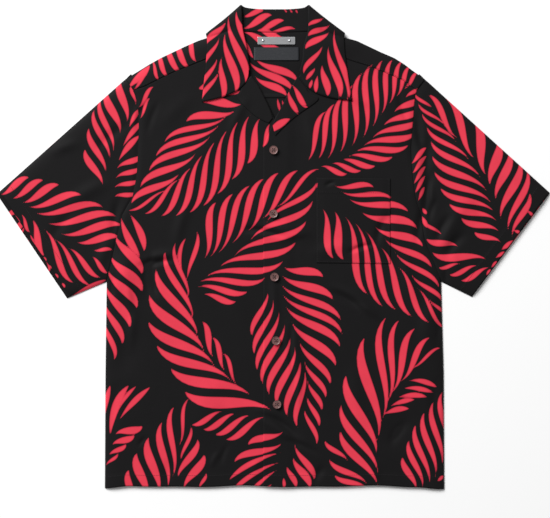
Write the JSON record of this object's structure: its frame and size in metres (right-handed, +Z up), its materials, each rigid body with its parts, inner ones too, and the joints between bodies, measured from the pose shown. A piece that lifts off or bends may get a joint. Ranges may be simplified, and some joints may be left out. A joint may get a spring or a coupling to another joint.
{
  "type": "hawaiian shirt",
  "caption": "Short-sleeved hawaiian shirt laid flat, buttoned, with an open collar, turned-out lapels, chest pocket and a leaf print.",
  "frame": {"origin": "under the middle of the shirt's outline, on the surface it lies on", "axes": "+X across the shirt towards the wearer's left sleeve, +Y from the hem to the collar, +Z up through the back and then the fronts"},
  "size_m": [0.8842, 0.769, 0.0103],
  "materials": {
    "printed_cloth": "soft woven rayon, black ground printed with coral red leaves, low sheen",
    "label_cloth": "blank woven label, dark charcoal, matt",
    "plate_metal": "blank brushed plate with two plain rivets",
    "button": "mauve brown sewing button with a paler rim"
  },
  "bodies": {
    "root": {"back": "printed_cloth", "yoke": "printed_cloth", "front_right": "printed_cloth", "front_left": "printed_cloth", "sleeve_right": "printed_cloth", "sleeve_left": "printed_cloth", "collar": "printed_cloth", "lapel_right": "printed_cloth", "lapel_left": "printed_cloth", "pocket": "printed_cloth", "neck_label": "label_cloth", "neck_plate": "plate_metal", "plate_rivet_right": "plate_metal", "plate_rivet_left": "plate_metal", "button_1": "button", "button_2": "button", "button_3": "button", "button_4": "button", "button_5": "button"}
  },
  "joints": []
}
